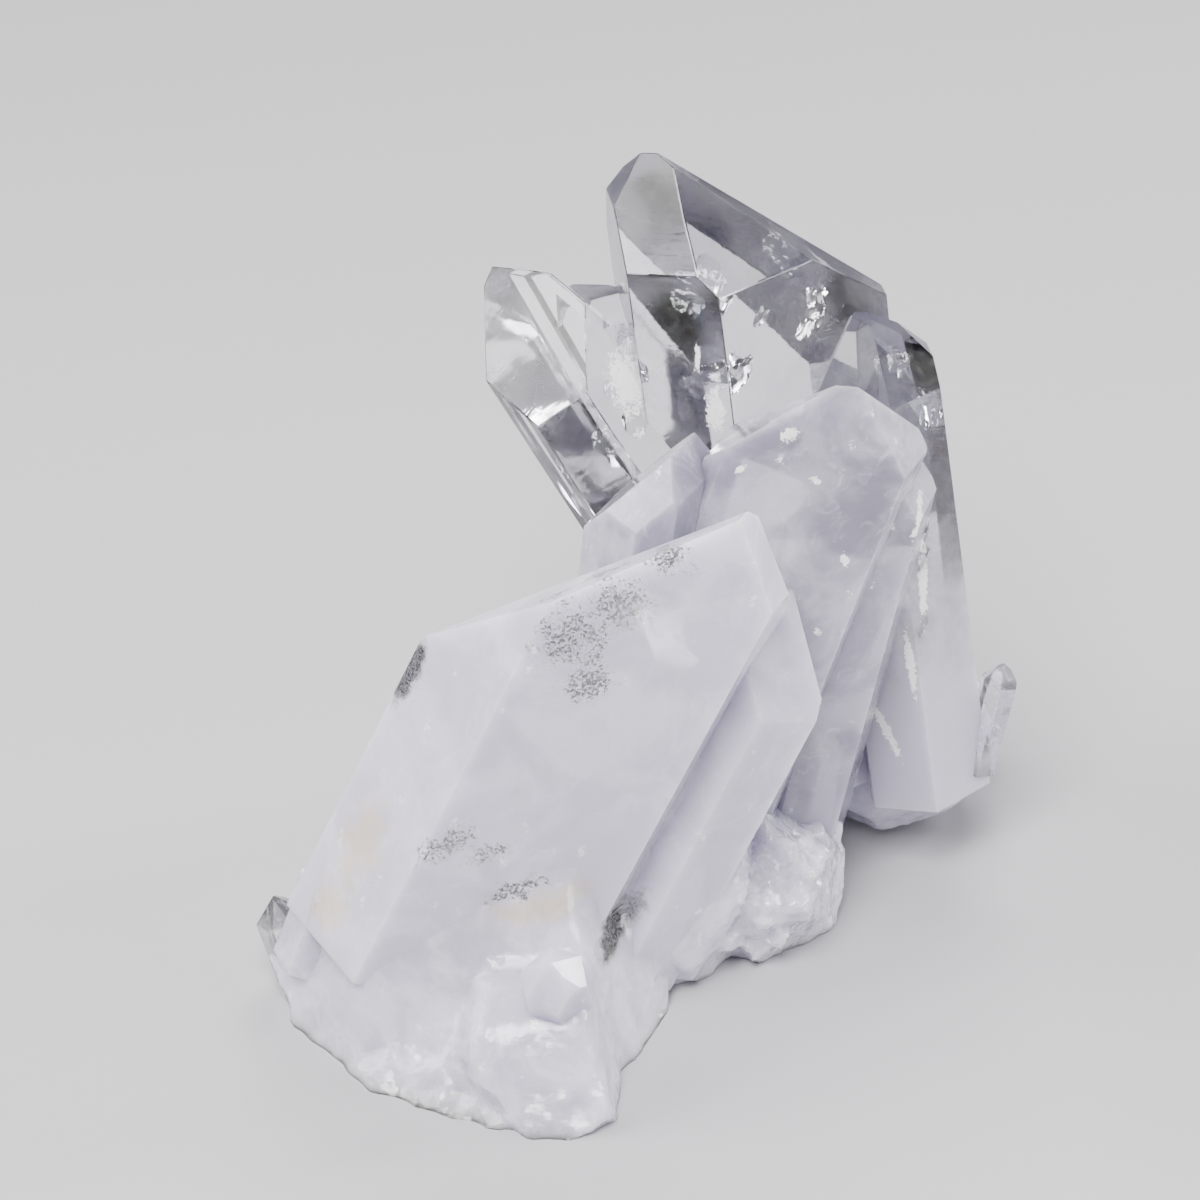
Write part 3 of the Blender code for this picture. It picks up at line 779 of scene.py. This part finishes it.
def join(target, other, operation):
    """Joins or cuts one closed mesh with another, and removes the other."""
    modifier = target.modifiers.new(other.name, "BOOLEAN")
    modifier.object = other
    modifier.operation = operation
    modifier.solver = "MANIFOLD"
    joined = applied(target)
    target.modifiers.clear()
    target.data = joined
    bpy.data.objects.remove(other, do_unlink=True)


def weathered(base):
    """Cuts the base's surface fine, eases it into the front point, and roughens it.

    The roughening is ripples and grain, and sugary grains on the lobe.
    """
    for name in BLENDED_POINTS:
        join(base, crystal(name, POINTS[name], BROKEN, BLEND_INSET), "UNION")
    remesh = base.modifiers.new("fine breaks", "REMESH")
    remesh.mode = "VOXEL"
    remesh.voxel_size = BASE_CELL
    base.data = applied(base)
    base.modifiers.clear()
    rough = bmesh.new()
    rough.from_mesh(base.data)
    front = [
        vert for vert in rough.verts
        if vert.co.y < BLEND_FRONT[0] and BLEND_FRONT[1] < vert.co.z < BLEND_FRONT[2]
    ]
    for _ in range(BLEND_STEPS):
        bmesh.ops.smooth_vert(
            rough, verts=front, factor=0.5, use_axis_x=True, use_axis_y=True, use_axis_z=True
        )
    rough.normal_update()
    for vert in rough.verts:
        place = vert.co
        foot = min(1.0, max(0.0, 1.0 - (place.z - 1.5) / 3.5))
        sugar = max(0.0, 1.0 - (place - LOBE_CENTRE).length / 13.0)
        bites = noise.voronoi(place / 3.6)[0][0] - 0.7
        grains = noise.voronoi(place / 1.1)[0][0] - 0.6
        ripple = 0.12 * noise.noise(place / 5.0) + 0.07 * noise.noise(place / 1.5) - 0.1
        depth = ripple + (0.12 + 0.75 * foot) * bites + (0.05 + 0.08 * foot + 0.6 * sugar) * grains
        vert.co = place + min(0.1, depth) * vert.normal
    bmesh.ops.triangulate(rough, faces=rough.faces)
    for face in rough.faces:
        face.material_index = BROKEN
    rough.to_mesh(base.data)
    rough.free()
    for finish in FINISHES[len(base.data.materials):]:
        base.data.materials.append(finish)


cluster, *other_masses = [
    broken_mass("mass_" + name, centre, half_sizes, MASS_FACES, [BREAKS[cut] for cut in cuts])
    for name, (centre, half_sizes, cuts) in MASSES.items()
]
for mass in other_masses:
    join(cluster, mass, "UNION")
for chip in chips(cluster):
    join(cluster, chip, "UNION")
weathered(cluster)
for point_name, point in POINTS.items():
    join(cluster, crystal(point_name, point, FINISH_OF.get(point_name, SMALL_CLEAR)), "UNION")
for number, (centre, facing, radius) in enumerate(FLAKES):
    join(cluster, flake(f"flake_{number}", centre, facing, radius), "DIFFERENCE")
for number, (centre, half_sizes) in enumerate(HOLLOWS):
    join(cluster, broken_mass(f"hollow_{number}", centre, half_sizes, MASS_FACES, ()), "DIFFERENCE")
below = bmesh.new()
bmesh.ops.create_cube(below, size=BLANK_SIDE)
bmesh.ops.translate(below, vec=(0, 0, -BLANK_SIDE / 2), verts=below.verts)
for face in below.faces:
    face.material_index = BROKEN
join(cluster, mesh_object("below_rest", below), "DIFFERENCE")
cluster.data.transform(Matrix.Scale(MM, 4) @ Matrix.Translation(-ORIGIN))
cluster.name = cluster.data.name = "quartz_group"
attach(cluster, "root")
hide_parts("quartz_cluster")

# The floor, the studio's light and the camera
floor_builder = bmesh.new()
bmesh.ops.create_grid(floor_builder, x_segments=1, y_segments=1, size=3.0)
floor_material = bpy.data.materials.new("matt pale floor")
floor_material.use_nodes = True
floor_shader = floor_material.node_tree.nodes["Principled BSDF"]
floor_shader.inputs["Base Color"].default_value = linear("#B4B3B6")
floor_shader.inputs["Roughness"].default_value = 0.9
floor = mesh_object("floor", floor_builder, [floor_material])

world = bpy.data.worlds.new("studio")
bpy.context.scene.world = world
world.use_nodes = True
world.node_tree.nodes["Background"].inputs["Color"].default_value = linear("#3C3C42")

TARGET = (Vector((0.0, 0.0, 38.0)) - ORIGIN) * MM


def soft_light(name, around, up, distance, size, power, color):
    """A rectangular soft light that looks at the middle of the group.

    around is counted in degrees from the camera's side to the right, up from level.
    """
    lamp = bpy.data.lights.new(name, "AREA")
    lamp.shape = "RECTANGLE"
    lamp.size, lamp.size_y = size
    lamp.energy = power
    lamp.color = linear(color)[:3]
    obj = bpy.data.objects.new(name, lamp)
    around, up = radians(around), radians(up)
    direction = Vector((sin(around) * cos(up), -cos(around) * cos(up), sin(up)))
    obj.location = TARGET + distance * direction
    obj.rotation_euler = direction.to_track_quat("Z", "Y").to_euler()
    bpy.context.scene.collection.objects.link(obj)


# The key stands above the camera's left; the left one shows in the pale tip faces,
# the narrow one in the leaning point's bright stripe, and the back one glows through the milky parts.
soft_light("key_light", -14, 54, 0.6, (0.3, 0.3), 5.2, "#FFFEFC")
soft_light("left_light", -88, 38, 0.5, (0.36, 0.3), 2.2, "#FFFFFF")
soft_light("stripe_light", 111, 25, 0.5, (0.08, 0.3), 1.3, "#FFFFFF")
soft_light("right_fill", 62, 8, 0.6, (0.35, 0.2), 1.8, "#FFFFFF")
soft_light("back_light", 165, 48, 0.6, (0.35, 0.25), 2.4, "#FFFFFF")

camera_data = bpy.data.cameras.new("camera")
camera_data.lens = 135.0
camera_data.sensor_width = 36.0
camera = bpy.data.objects.new("camera", camera_data)
elevation = radians(30)
camera.location = TARGET + Vector((0.0, -cos(elevation), sin(elevation))) * 450 * MM
camera.rotation_euler = (camera.location - TARGET).to_track_quat("Z", "Y").to_euler()
bpy.context.scene.collection.objects.link(camera)
bpy.context.scene.camera = camera

bpy.context.scene.view_settings.look = "AgX - Medium High Contrast"
